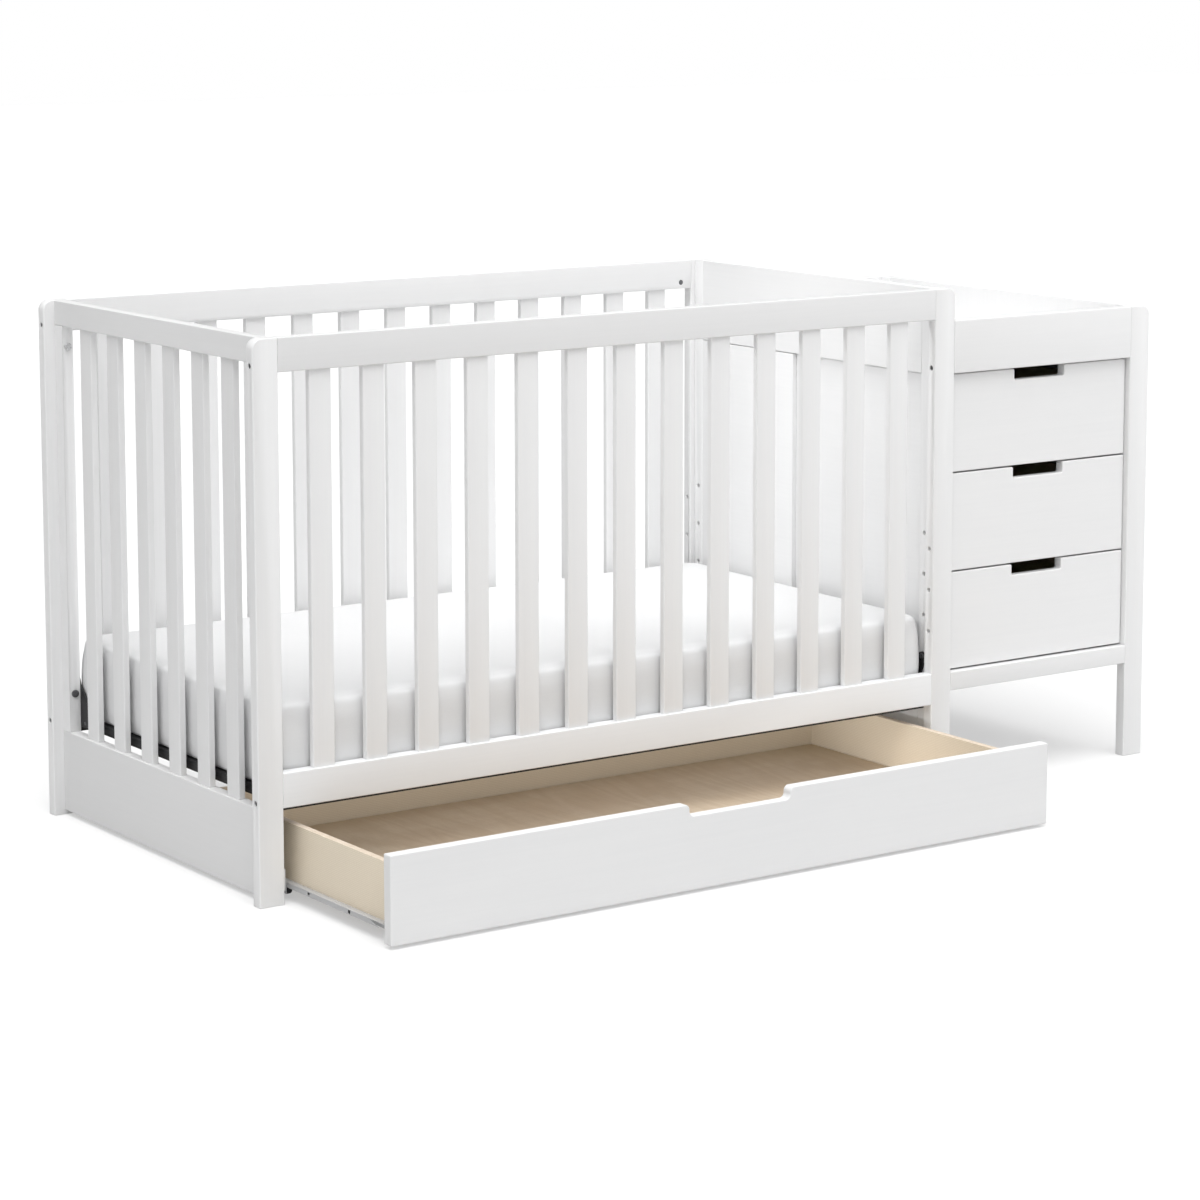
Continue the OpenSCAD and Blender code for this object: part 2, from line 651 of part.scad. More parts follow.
module drawer_bottom(i) {
    z0 = d_z(i) + 34;
    color(birch) place() block([db0 + db_t, dy0 + d_front_t, z0], [db1 - db_t, db_y1 - db_t, z0 + 5]);
}
module drawer_runners(i) {
    color(steel) place() for (m = [false, true]) flip_x(m, xm_d) union()
        drawer_member(db0, 34, 628, d_z(i) + 22, d_z(i) + run_z + 13.2, 11, 5);
}
module upper_drawer_front() { drawer_front(2); }
module upper_drawer_box() { drawer_box(2); }
module upper_drawer_bottom() { drawer_bottom(2); }
module upper_drawer_runners() { drawer_runners(2); }
module middle_drawer_front() { drawer_front(1); }
module middle_drawer_box() { drawer_box(1); }
module middle_drawer_bottom() { drawer_bottom(1); }
module middle_drawer_runners() { drawer_runners(1); }
module lower_drawer_front() { drawer_front(0); }
module lower_drawer_box() { drawer_box(0); }
module lower_drawer_bottom() { drawer_bottom(0); }
module lower_drawer_runners() { drawer_runners(0); }

// ---------- under-crib drawer ----------
module trundle_front() {
    color(white) moved_trundle()
        notched_front(tx0, tx1, 0, trundle_front_t, tz0, trundle_front_h, trundle_notch_w, 9, 9);
}
module trundle_box() {
    color(birch) moved_trundle() {
        block([tb0, trundle_front_t, t_z0], [tb0 + t_side_t, trundle_depth, t_z1]);
        block([tb1 - t_side_t, trundle_front_t, t_z0], [tb1, trundle_depth, t_z1]);
        block([tb0 + t_side_t, trundle_depth - t_side_t, t_z0], [tb1 - t_side_t, trundle_depth, t_z1]);
    }
}
module trundle_bottom() {
    color(birch) moved_trundle()
        block([tb0 + t_side_t, trundle_front_t, t_floor - 6], [tb1 - t_side_t, trundle_depth - t_side_t, t_floor]);
}
module trundle_runners() {
    color(steel) moved_trundle() for (m = [false, true]) flip_x(m, xm_t) union() {
        difference() {
            drawer_member(tb0, trundle_front_t + 8, roller_r_y - 13, t_z0, t_flange, 12, t_lip);
            // the lip starts on a slant behind the front end and has slots for its screws
            translate([tb0 - 13, 0, 0]) rotate([90, 0, 90]) linear_extrude(1 + run_t)
                polygon([[0, 0], [57, 0], [57, t_flange - t_lip], [84, t_flange - run_t], [0, t_flange - run_t]]);
            for (y = [142, 267, 520]) translate([tb0 - 13, y, t_flange - t_lip + 1.4]) cube([1 + run_t + 0.2, 6.5, 5.6]);
        }
        block([tb0 - run_t, roller_r_y - 14, t_z0 - run_t], [tb0, roller_r_y + 8, t_flange]);
        xrod(roller_x0 - 0.4, tb0, roller_r_y, roller_r_z, axle_r);
    }
}
module roller(x0, x1, y, z, r) {
    difference() {
        xrod(x0, x1, y, z, r);
        xrod(x0 - 1, x1 + 1, y, z, axle_r + 0.05);
    }
}
module trundle_front_rollers() {
    color(black) place() for (m = [false, true]) flip_x(m, xm_t)
        roller(roller_x0, roller_x1, roller_f_y, roller_f_z, roller_f_r);
}
module trundle_rear_rollers() {
    color(black) moved_trundle() for (m = [false, true]) flip_x(m, xm_t)
        roller(roller_x0, roller_x1, roller_r_y, roller_r_z, roller_r_r);
}

left_front_post();
left_back_post();
right_front_post();
right_back_post();
front_top_rail();
front_bottom_rail();
front_slats();
back_top_rail();
back_bottom_rail();
back_slats();
left_end_stiles();
left_end_top_rail();
left_end_slats();
left_end_panel();
right_end_stiles();
right_end_top_board();
right_end_lower_board();
right_end_filler_board();
right_end_bottom_board();
mattress_support_frame();
mattress_support_straps();
hanger_brackets();
hanger_bolts();
mattress();
connector_bolts();
barrel_nuts();
dowel_pins();
changer_front_post();
changer_back_post();
changer_fascia();
changer_back_top_rail();
changer_bottom_rails();
changer_side_stiles();
changer_side_panel();
changer_back_panel();
changer_deck();
changer_deck_battens();
changer_bottom_panel();
runner_packers();
fixed_runners();
runner_glides();
upper_drawer_front();
upper_drawer_box();
upper_drawer_bottom();
upper_drawer_runners();
middle_drawer_front();
middle_drawer_box();
middle_drawer_bottom();
middle_drawer_runners();
lower_drawer_front();
lower_drawer_box();
lower_drawer_bottom();
lower_drawer_runners();
trundle_front();
trundle_box();
trundle_bottom();
trundle_runners();
trundle_front_rollers();
trundle_rear_rollers();
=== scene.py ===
import math

import bmesh
import bpy
import numpy as np
from mathutils import Matrix, Vector, noise


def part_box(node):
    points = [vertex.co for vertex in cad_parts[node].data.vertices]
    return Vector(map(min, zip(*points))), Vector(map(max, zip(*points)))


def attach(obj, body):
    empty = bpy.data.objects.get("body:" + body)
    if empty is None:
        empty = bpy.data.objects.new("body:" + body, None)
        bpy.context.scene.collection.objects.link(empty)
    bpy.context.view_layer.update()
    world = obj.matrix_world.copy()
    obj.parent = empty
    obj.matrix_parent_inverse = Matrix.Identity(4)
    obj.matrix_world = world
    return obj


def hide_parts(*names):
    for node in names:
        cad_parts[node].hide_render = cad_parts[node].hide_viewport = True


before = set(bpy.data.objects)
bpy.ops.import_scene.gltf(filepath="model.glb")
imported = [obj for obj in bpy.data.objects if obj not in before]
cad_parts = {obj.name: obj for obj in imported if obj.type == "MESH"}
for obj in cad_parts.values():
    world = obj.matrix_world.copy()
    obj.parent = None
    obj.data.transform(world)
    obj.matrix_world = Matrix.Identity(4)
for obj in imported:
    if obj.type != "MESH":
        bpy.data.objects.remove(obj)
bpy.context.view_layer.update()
scene = bpy.context.scene


# ------------------------------------------------------------------ sizes
# The design is drawn from the crib's front left foot; the shared frame has its origin in the
# middle of the footprint. P() takes a point of the drawing in millimetres to the shared frame.
def P(x, y, z):
    return Vector(((x - 945.0) / 1000.0, (y - 219.5) / 1000.0, z / 1000.0))


# ------------------------------------------------------------------ node materials
class Mat:
    def __init__(self, name):
        self.m = bpy.data.materials.new(name)
        self.m.use_nodes = True
        self.nt = self.m.node_tree
        self.nt.nodes.clear()
        self.out = self.nt.nodes.new("ShaderNodeOutputMaterial")
        self.b = self.nt.nodes.new("ShaderNodeBsdfPrincipled")
        self.nt.links.new(self.b.outputs[0], self.out.inputs[0])
        self.tc = self.nt.nodes.new("ShaderNodeTexCoord")

    def set(self, **kw):
        for k, v in kw.items():
            self.b.inputs[k.replace("_", " ")].default_value = v
        return self

    def _in(self, socket, v):
        if hasattr(v, "is_linked"):
            self.nt.links.new(v, socket)
        elif v is not None:
            socket.default_value = v

    def pos(self, scale=(1, 1, 1), loc=(0, 0, 0)):
        n = self.nt.nodes.new("ShaderNodeMapping")
        self.nt.links.new(self.tc.outputs["Object"], n.inputs["Vector"])
        n.inputs["Scale"].default_value = scale
        n.inputs["Location"].default_value = loc
        return n.outputs[0]

    def normal(self):
        return self.tc.outputs["Normal"]

    def noise(self, vec, scale=1.0, detail=3.0, rough=0.5, distortion=0.0):
        n = self.nt.nodes.new("ShaderNodeTexNoise")
        n.inputs["Scale"].default_value = scale
        n.inputs["Detail"].default_value = detail
        n.inputs["Roughness"].default_value = rough
        n.inputs["Distortion"].default_value = distortion
        self.nt.links.new(vec, n.inputs["Vector"])
        return n.outputs[0]

    def vor(self, vec, scale=1.0, feature="F1"):
        n = self.nt.nodes.new("ShaderNodeTexVoronoi")
        n.feature = feature
        n.inputs["Scale"].default_value = scale
        self.nt.links.new(vec, n.inputs["Vector"])
        return n.outputs[0]

    def math(self, op, a, b=None, c=None, clamp=False):
        n = self.nt.nodes.new("ShaderNodeMath")
        n.operation = op
        n.use_clamp = clamp
        self._in(n.inputs[0], a)
        if b is not None:
            self._in(n.inputs[1], b)
        if c is not None:
            self._in(n.inputs[2], c)
        return n.outputs[0]

    def ramp(self, v, a, b, lo=0.0, hi=1.0, smooth=False):
        n = self.nt.nodes.new("ShaderNodeMapRange")
        n.interpolation_type = "SMOOTHSTEP" if smooth else "LINEAR"
        n.clamp = True
        self._in(n.inputs["Value"], v)
        n.inputs["From Min"].default_value = a
        n.inputs["From Max"].default_value = b
        n.inputs["To Min"].default_value = lo
        n.inputs["To Max"].default_value = hi
        return n.outputs[0]

    def mix(self, f, a, b):
        n = self.nt.nodes.new("ShaderNodeMix")
        n.data_type = "RGBA"
        self._in(n.inputs[0], f)
        for s, v in ((n.inputs[6], a), (n.inputs[7], b)):
            if hasattr(v, "is_linked"):
                self.nt.links.new(v, s)
            else:
                s.default_value = (*v, 1.0)
        return n.outputs[2]

    def split(self, vec):
        n = self.nt.nodes.new("ShaderNodeSeparateXYZ")
        self.nt.links.new(vec, n.inputs[0])
        return n.outputs[0], n.outputs[1], n.outputs[2]

    def color(self, v):
        self._in(self.b.inputs["Base Color"], v if hasattr(v, "is_linked") else (*v, 1.0))
        return self

    def rough(self, v):
        self._in(self.b.inputs["Roughness"], v)
        return self

    def bump(self, height, distance, strength=1.0):
        n = self.nt.nodes.new("ShaderNodeBump")
        n.inputs["Strength"].default_value = strength
        n.inputs["Distance"].default_value = distance
        self.nt.links.new(height, n.inputs["Height"])
        prev = getattr(self, "_bump", None)
        if prev is not None:
            self.nt.links.new(prev, n.inputs["Normal"])
        self._bump = n.outputs[0]
        self.nt.links.new(self._bump, self.b.inputs["Normal"])
        return self


_mats = {}
AX = {"X": 0, "Y": 1, "Z": 2}


def stretched(axis, along, across):
    s = [across, across, across]
    s[AX[axis]] = along
    return tuple(s)


def lacquer(axis, shade=(1.0, 1.0, 1.0)):
    """Satin white lacquer. The grain under it runs along the board's length and only just shows.
    shade scales the base colour of one board. It was set against the photograph's tones under these
    lights, and stands for light this scene lacks: the real boards are all the same white."""
    key = "white_lacquer_" + axis + ("" if shade == (1.0, 1.0, 1.0) else "_%d_%d_%d" % tuple(round(c * 100) for c in shade))
    if key in _mats:
        return _mats[key]
    m = Mat(key)
    grain = m.noise(m.pos(stretched(axis, 5.0, 210.0)), 1.0, 6.0, 0.62, 0.15)
    broad = m.noise(m.pos(stretched(axis, 1.6, 16.0)), 1.0, 3.0, 0.5, 0.4)
    cloud = m.noise(m.pos(), 3.1, 3.0, 0.55)
    peel = m.noise(m.pos(), 620.0, 2.0, 0.45)
    tone = m.math("ADD", m.math("MULTIPLY", grain, 0.45),
                  m.math("ADD", m.math("MULTIPLY", broad, 0.3), m.math("MULTIPLY", cloud, 0.25)))
    f = m.ramp(tone, 0.30, 0.70)
    a = tuple(v * t for v, t in zip((0.800, 0.802, 0.805), shade))
    b = tuple(v * t for v, t in zip((0.834, 0.834, 0.834), shade))
    m.color(m.mix(f, a, b))
    m.rough(m.ramp(m.math("ADD", m.math("MULTIPLY", cloud, 0.6), m.math("MULTIPLY", grain, 0.4)), 0.3, 0.7, 0.36, 0.47))
    m.bump(grain, 0.000028)
    m.bump(peel, 0.000007)
    m.set(IOR=1.47)
    m.b.inputs["Specular IOR Level"].default_value = 0.42
    _mats[key] = m.m
    return m.m


def ply(axis, thick, tint="birch"):
    """Clear-lacquered birch plywood: rotary-cut face veneer along axis, the plies in stripes on the edges."""
    key = f"{tint}_ply_{axis}_{thick}"
    if key in _mats:
        return _mats[key]
    m = Mat(key)
    x, y, z = m.split(m.pos((1, 1, 1)))
    co = {"X": x, "Y": y, "Z": z}
    if tint == "birch":
        pale, mid, dark = (0.730, 0.634, 0.525), (0.670, 0.566, 0.452), (0.480, 0.375, 0.275)
        ply_t, cut = 1.5, (0.83, 0.745, 0.60)
    else:
        pale, mid, dark = (0.665, 0.560, 0.435), (0.585, 0.475, 0.350), (0.400, 0.300, 0.205)
        ply_t, cut = 1.3, (0.66, 0.54, 0.37)
    # face figure: wide soft bands that wander along the board, as a peeled veneer has
    field = m.noise(m.pos(stretched(axis, 1.1, 7.5)), 1.0, 2.0, 0.5, 0.7)
    bands = m.math("PINGPONG", m.math("MULTIPLY", field, 9.0), 0.5)
    bands = m.ramp(bands, 0.03, 0.5, 0.0, 1.0, True)
    fibre = m.noise(m.pos(stretched(axis, 14.0, 520.0)), 1.0, 4.0, 0.6)
    streak = m.noise(m.pos(stretched(axis, 3.2, 90.0)), 1.0, 3.0, 0.55, 0.3)
    cloud = m.noise(m.pos(), 5.0, 2.0, 0.5)
    fleck = m.noise(m.pos(stretched(axis, 60.0, 900.0), (3.1, 1.7, 0.3)), 1.0, 1.0, 0.3)
    fleck = m.ramp(fleck, 0.69, 0.76)
    f = m.math("ADD", m.math("MULTIPLY", bands, 0.42), m.math("MULTIPLY", streak, 0.38))
    f = m.math("ADD", f, m.math("MULTIPLY", cloud, 0.30))
    face = m.mix(m.ramp(f, 0.28, 0.86), mid, pale)
    face = m.mix(m.ramp(fibre, 0.34, 0.66, 0.16, 0.0), face, dark)
    face = m.mix(m.math("MULTIPLY", fleck, 0.42), face, dark)
    # fine mottling across the fibre, and a few darker mineral streaks
    mottle = m.noise(m.pos(stretched(axis, 95.0, 38.0), (0.7, 2.3, 1.1)), 1.0, 3.0, 0.6, 0.8)
    face = m.mix(m.ramp(mottle, 0.30, 0.70, 0.13, 0.0), face, dark)
    if tint == "thin":      # sheet ply of a lower grade: browner patches and a livelier short fibre
        patch = m.noise(m.pos(stretched(axis, 16.0, 3.2), (1.9, 0.2, 0.4)), 1.0, 3.0, 0.55, 0.6)
        face = m.mix(m.ramp(patch, 0.36, 0.66, 0.0, 0.30, True), face, (0.500, 0.360, 0.245))
        short = m.noise(m.pos(stretched(axis, 34.0, 260.0), (0.4, 1.3, 2.9)), 1.0, 3.0, 0.65, 0.4)
        face = m.mix(m.ramp(short, 0.32, 0.66, 0.24, 0.0), face, dark)
    vein = m.noise(m.pos(stretched(axis, 1.7, 55.0), (5.0, 0.4, 2.2)), 1.0, 2.0, 0.5, 0.5)
    face = m.mix(m.ramp(vein, 0.60, 0.78, 0.0, 0.22, True), face, mid)
    # edges: plies in turn long grain and end grain
    wave = m.math("ADD", m.math("MULTIPLY", co[thick], 1000.0 / ply_t),
                  m.math("MULTIPLY", m.noise(m.pos((40, 40, 40)), 1.0, 1.0), 0.25))
    tri = m.math("PINGPONG", wave, 1.0)
    layer = m.ramp(tri, 0.38, 0.62, 0.0, 1.0, True)
    glue = m.ramp(m.math("ABSOLUTE", m.math("SUBTRACT", tri, 0.5)), 0.0, 0.07, 1.0, 0.0)
    pores = m.noise(m.pos((1500, 1500, 1500)), 1.0, 2.0, 0.5)
    edge = m.mix(m.math("MULTIPLY", layer, 0.34), cut, mid)
    edge = m.mix(m.ramp(pores, 0.40, 0.68, 0.0, 0.20), edge, dark)
    edge = m.mix(m.math("MULTIPLY", glue, 0.24), edge, dark)
    nx, ny, nz = m.split(m.normal())
    nt = {"X": nx, "Y": ny, "Z": nz}[thick]
    is_face = m.ramp(m.math("ABSOLUTE", nt), 0.62, 0.80)
    m.color(m.mix(is_face, edge, face))
    m.rough(m.ramp(m.math("ADD", m.math("MULTIPLY", fibre, 0.5), m.math("MULTIPLY", streak, 0.5)), 0.3, 0.7, 0.44, 0.60))
    m.bump(fibre, 0.00005)
    m.bump(m.math("ADD", m.math("MULTIPLY", layer, m.math("SUBTRACT", 1.0, is_face)), m.math("MULTIPLY", fleck, -0.5)), 0.00008)
    m.b.inputs["Specular IOR Level"].default_value = 0.32
    _mats[key] = m.m
    return m.m


def beech():
    if "beech" in _mats:
        return _mats["beech"]
    m = Mat("beech_pin")
    g = m.noise(m.pos((60, 900, 900)), 1.0, 4.0, 0.6)
    fl = m.ramp(m.noise(m.pos((300, 1500, 1500)), 1.0, 1.0), 0.66, 0.74)
    c = m.mix(m.ramp(g, 0.3, 0.7), (0.56, 0.40, 0.25), (0.70, 0.54, 0.36))
    m.color(m.mix(m.math("MULTIPLY", fl, 0.6), c, (0.36, 0.22, 0.12)))
    m.rough(m.ramp(g, 0.3, 0.7, 0.55, 0.72)).bump(g, 0.00006)
    _mats["beech"] = m.m
    return m.m


def powder_black():
    if "pb" in _mats:
        return _mats["pb"]
    m = Mat("black_powder_coat")
    tex = m.noise(m.pos(), 900.0, 3.0, 0.55)
    cloud = m.noise(m.pos(), 9.0, 3.0, 0.5)
    m.color(m.mix(m.ramp(cloud, 0.3, 0.7), (0.0125, 0.0128, 0.0135), (0.020, 0.020, 0.021)))
    m.rough(m.ramp(m.math("ADD", m.math("MULTIPLY", tex, 0.5), m.math("MULTIPLY", cloud, 0.5)), 0.3, 0.7, 0.42, 0.58))
    m.bump(tex, 0.00005)
    _mats["pb"] = m.m
    return m.m


def dark_zinc():
    if "dz" in _mats:
        return _mats["dz"]
    m = Mat("dark_zinc_plate")
    cloud = m.noise(m.pos(), 180.0, 3.0, 0.55)
    turn = m.noise(m.pos((5200, 300, 300)), 1.0, 2.0, 0.5)
    m.set(Metallic=1.0)
    m.color(m.mix(m.ramp(cloud, 0.3, 0.7), (0.145, 0.148, 0.158), (0.235, 0.235, 0.240)))
    m.rough(m.ramp(turn, 0.3, 0.7, 0.28, 0.42)).bump(turn, 0.00002)
    _mats["dz"] = m.m
    return m.m


def bright_zinc():
    if "bz" in _mats:
        return _mats["bz"]
    m = Mat("bright_zinc_plate")
    cloud = m.noise(m.pos(), 220.0, 3.0, 0.55)
    turn = m.noise(m.pos((300, 5200, 300)), 1.0, 2.0, 0.5)
    m.set(Metallic=1.0)
    m.color(m.mix(m.ramp(cloud, 0.3, 0.7), (0.62, 0.625, 0.635), (0.76, 0.76, 0.765)))
    m.rough(m.ramp(turn, 0.3, 0.7, 0.22, 0.36)).bump(turn, 0.00002)
    _mats["bz"] = m.m
    return m.m


def epoxy_steel():
    """Rolled steel under a thin light grey epoxy coat: a faint roller line along the profile, small dust pits."""
    if "es" in _mats:
        return _mats["es"]
    m = Mat("grey_epoxy_steel")
    peel = m.noise(m.pos(), 520.0, 2.0, 0.5)
    line = m.noise(m.pos((900, 4, 900)), 1.0, 3.0, 0.55)
    cloud = m.noise(m.pos(), 14.0, 3.0, 0.5)
    m.color(m.mix(m.ramp(m.math("ADD", m.math("MULTIPLY", cloud, 0.5), m.math("MULTIPLY", line, 0.5)), 0.3, 0.7),
                  (0.425, 0.428, 0.435), (0.505, 0.507, 0.511)))
    m.rough(m.ramp(cloud, 0.3, 0.7, 0.30, 0.42)).bump(peel, 0.000012).bump(line, 0.00001)
    m.b.inputs["Specular IOR Level"].default_value = 0.55
    _mats["es"] = m.m
    return m.m


def nylon(kind):
    key = "nylon_" + kind
    if key in _mats:
        return _mats[key]
    m = Mat(key)
    a, b = ((0.017, 0.017, 0.018), (0.030, 0.030, 0.031)) if kind == "black" else ((0.74, 0.74, 0.72), (0.82, 0.82, 0.80))
    spark = m.noise(m.pos(), 1100.0, 2.0, 0.5)
    flow = m.noise(m.pos((60, 220, 220)), 1.0, 3.0, 0.5)
    m.color(m.mix(m.ramp(flow, 0.3, 0.7), a, b))
    m.rough(m.ramp(flow, 0.3, 0.7, 0.34, 0.50)).bump(spark, 0.000015)
    _mats[key] = m.m
    return m.m


def cover():
    """Plain-woven white cover: threads 0.9 mm apart on every face, a faint nap and slight tone changes."""
    if "cover" in _mats:
        return _mats["cover"]
    m = Mat("woven_mattress_cover")
    x, y, z = m.split(m.pos((1, 1, 1)))
    nx, ny, nz = m.split(m.normal())
    k = 2 * math.pi / 0.0018

    def wav(c, ph=0.0):
        return m.math("SINE", m.math("ADD", m.math("MULTIPLY", c, k), ph))

    def weave(a, b):
        w = m.math("MULTIPLY", wav(a), wav(b))
        t = m.math("ADD", m.math("ABSOLUTE", wav(a, 0.4)), m.math("ABSOLUTE", wav(b, 0.4)))
        return m.math("ADD", m.math("MULTIPLY", w, 0.5), m.math("MULTIPLY", t, 0.25))

    ax, ay, az = (m.math("ABSOLUTE", n) for n in (nx, ny, nz))
    side_x = m.ramp(ax, 0.5, 0.85)
    top = m.ramp(az, 0.5, 0.85)
    w = m.math("ADD", m.math("MULTIPLY", weave(x, y), top),
               m.math("MULTIPLY", m.math("SUBTRACT", 1.0, top),
                      m.math("ADD", m.math("MULTIPLY", weave(y, z), side_x),
                             m.math("MULTIPLY", weave(x, z), m.math("SUBTRACT", 1.0, side_x)))))
    slub = m.noise(m.pos((22, 420, 420)), 1.0, 3.0, 0.5)
    slub2 = m.noise(m.pos((420, 22, 300)), 1.0, 3.0, 0.5)
    cloud = m.noise(m.pos(), 4.0, 3.0, 0.5)
    t = m.math("ADD", m.math("MULTIPLY", cloud, 0.5), m.math("MULTIPLY", m.math("ADD", slub, slub2), 0.25))
    c = m.mix(m.ramp(t, 0.3, 0.7), (0.732, 0.735, 0.739), (0.766, 0.767, 0.769))
    # painted shade: the weave's low points between the threads are darkened a little towards grey
    m.color(m.mix(m.ramp(w, -0.2, 0.9, 0.08, 0.0), c, (0.56, 0.57, 0.59)))
    m.rough(m.ramp(w, -0.2, 0.9, 0.90, 0.78))
    m.bump(m.math("ADD", m.math("MULTIPLY", slub, 0.5), m.math("MULTIPLY", slub2, 0.5)), 0.00012)
    m.bump(w, 0.00009)
    m.set(Sheen_Weight=0.05, Sheen_Roughness=0.5)
    m.b.inputs["Specular IOR Level"].default_value = 0.2
    _mats["cover"] = m.m
    return m.m


def thread():
    if "thread" in _mats:
        return _mats["thread"]
    m = Mat("seam_thread")
    tw = m.noise(m.pos(), 1900.0, 2.0, 0.5)
    m.color(m.mix(m.ramp(tw, 0.3, 0.7), (0.70, 0.71, 0.72), (0.84, 0.84, 0.84)))
    m.rough(m.ramp(tw, 0.3, 0.7, 0.62, 0.8)).bump(tw, 0.00005)
    m.set(Sheen_Weight=0.2)
    _mats["thread"] = m.m
    return m.m


# ------------------------------------------------------------------ pieces from the frame's boards
def islands(bm):
    seen, out = set(), []
    for f in bm.faces:
        if f.index in seen:
            continue
        stack, part = [f], []
        seen.add(f.index)
        while stack:
            g = stack.pop()
            part.append(g)
            for e in g.edges:
                for h in e.link_faces:
                    if h.index not in seen:
                        seen.add(h.index)
                        stack.append(h)
        out.append(part)
    return out


def turn_radius(e):
    """Radius of the arc that a sharp edge belongs to, or a large number where it is straight."""
    best = 1e9
    for v in e.verts:
        d0 = (e.other_vert(v).co - v.co).normalized()
        for g in v.link_edges:
            if g is e or len(g.link_faces) != 2 or g.calc_face_angle(0) < math.radians(35):
                continue
            d1 = (v.co - g.other_vert(v).co).normalized()
            a = d0.angle(d1, 0.0)
            a = min(a, math.pi - a) if a > math.pi / 2 else a
            if math.radians(1.5) < a < math.radians(46) and set(e.link_faces) & set(g.link_faces):
                best = min(best, min(e.calc_length(), g.calc_length() + 1e-9) / a)
    return best


def finish_mesh(ob, weighted=True):
    for p in ob.data.polygons:
        p.use_smooth = True
    apply_all(ob)
    if weighted:
        flat_faces_flat(ob.data)


def flat_faces_flat(me):
    """Each corner takes the normal of the widest face that meets there, so wide faces shade flat and narrow ones blend."""
    n = len(me.polygons)
    areas = np.zeros(n)
    me.polygons.foreach_get("area", areas)
    normals = np.zeros(n * 3)
    me.polygons.foreach_get("normal", normals)
    normals = normals.reshape(-1, 3)
    big = areas > 2e-4
    best = {}
    smooth = np.zeros((len(me.vertices), 3))
    for p in me.polygons:
        for v in p.vertices:
            smooth[v] += normals[p.index] * areas[p.index]
            if big[p.index] and areas[p.index] > best.get(v, (0, 0))[0]:
                best[v] = (areas[p.index], p.index)
    out = []
    for p in me.polygons:
        for v in p.vertices:
            if big[p.index]:
                out.append(tuple(normals[p.index]))
            elif v in best:
                out.append(tuple(normals[best[v][1]]))
            else:
                q = smooth[v] / max(1e-12, np.linalg.norm(smooth[v]))
                out.append(tuple(q))
    me.normals_split_custom_set(out)


def apply_all(ob):
    bpy.context.view_layer.update()
    dg = bpy.context.evaluated_depsgraph_get()
    me = bpy.data.meshes.new_from_object(ob.evaluated_get(dg), preserve_all_data_layers=True, depsgraph=dg)
    old = ob.data
    ob.modifiers.clear()
    ob.data = me
    me.name = ob.name
    if old.users == 0:
        bpy.data.meshes.remove(old)


def link(name, me, body, mats):
    ob = bpy.data.objects.new(name, me)
    scene.collection.objects.link(ob)
    for m in mats:
        me.materials.append(m)
    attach(ob, body)
    return ob


def ease(node, body, mat, long=0.002, end=0.0006, width=None, seg=3, rims=0.0, small=0.006, name=None):
    """A new piece with the node's own form, its edges eased: long ones by long, the ends by end,
    or by width(edge, centre, n1, n2, info) where one is given. rims is the ease of hole rims."""
    bm = bmesh.new()
    bm.from_mesh(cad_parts[node].data)
    bmesh.ops.remove_doubles(bm, verts=bm.verts, dist=3e-6)
    bmesh.ops.dissolve_limit(bm, angle_limit=math.radians(0.3), verts=bm.verts, edges=bm.edges)
    bmesh.ops.recalc_face_normals(bm, faces=bm.faces)
    bm.faces.ensure_lookup_table()
    bm.faces.index_update()
    lay = bm.edges.layers.float.get("bevel_weight_edge") or bm.edges.layers.float.new("bevel_weight_edge")
    mats, wid = [], {}
    for part in islands(bm):
        co = [v.co for f in part for v in f.verts]
        lo = Vector([min(c[i] for c in co) for i in range(3)])
        hi = Vector([max(c[i] for c in co) for i in range(3)])
        size = hi - lo
        order = sorted(range(3), key=lambda i: size[i])
        info = {"lo": lo, "hi": hi, "long": "XYZ"[order[2]], "thick": "XYZ"[order[0]], "size": size}
        mt = mat(info)
        if mt not in mats:
            mats.append(mt)
        k = mats.index(mt)
        la = Vector([1.0 if i == order[2] else 0.0 for i in range(3)])
        for e in {e for f in part for e in f.edges}:
            if len(e.link_faces) != 2 or e.calc_face_angle(0) < math.radians(35):
                continue
            n1, n2 = (f.normal for f in e.link_faces)
            c = (e.verts[0].co + e.verts[1].co) / 2
            r = turn_radius(e)
            if r < small:
                w = rims
            elif width:
                w = width(e, c, n1, n2, info)
            else:
                w = end if max(abs(n1.dot(la)), abs(n2.dot(la))) > 0.9 else long
            wid[e] = w
        for f in part:
            f.material_index = k
    top = max(list(wid.values()) + [1e-6])
    for e, w in wid.items():
        e[lay] = w / top
        if w < 1e-6:
            e.smooth = False
    me = bpy.data.meshes.new(node)
    bm.to_mesh(me)
    bm.free()
    ob = link(name or node + "_piece", me, body, mats)
    if seg and top > 1e-5:
        b = ob.modifiers.new("ease", "BEVEL")
        b.limit_method = "WEIGHT"
        b.width = top
        b.offset_type = "OFFSET"
        b.segments = seg
        b.profile = 0.5
        b.use_clamp_overlap = False
        b.miter_outer = "MITER_SHARP"
        b.harden_normals = True
    finish_mesh(ob, False)
    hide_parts(node)
    return ob


LAQ = lambda i: lacquer(i["long"])
# painted light and shade: each listed board's white is scaled lighter or darker to stand in for light this scene lacks;
# the real boards are all the same white
SHADE = {"front_top_rail": (0.94, 0.94, 0.94), "back_top_rail": (1.01, 1.01, 1.01),
         "front_bottom_rail": (1.02, 1.03, 1.04), "back_slats": (1.01, 1.01, 1.01),
         "left_end_slats": (0.96, 0.96, 0.96), "changer_bottom_rails": (0.96, 0.96, 0.96),
         "left_end_panel": (0.93, 0.93, 0.93), "left_end_top_rail": (0.95, 0.95, 0.95),
         "trundle_front": (0.95, 0.95, 0.95)}


def post_width(e, c, n1, n2, i):
    if abs(n1.z) > 0.9 and c.z < 0.03 or abs(n2.z) > 0.9 and c.z < 0.03:
        return 0.0008
    return 0.002


def plain(w):
    return lambda e, c, n1, n2, i: w


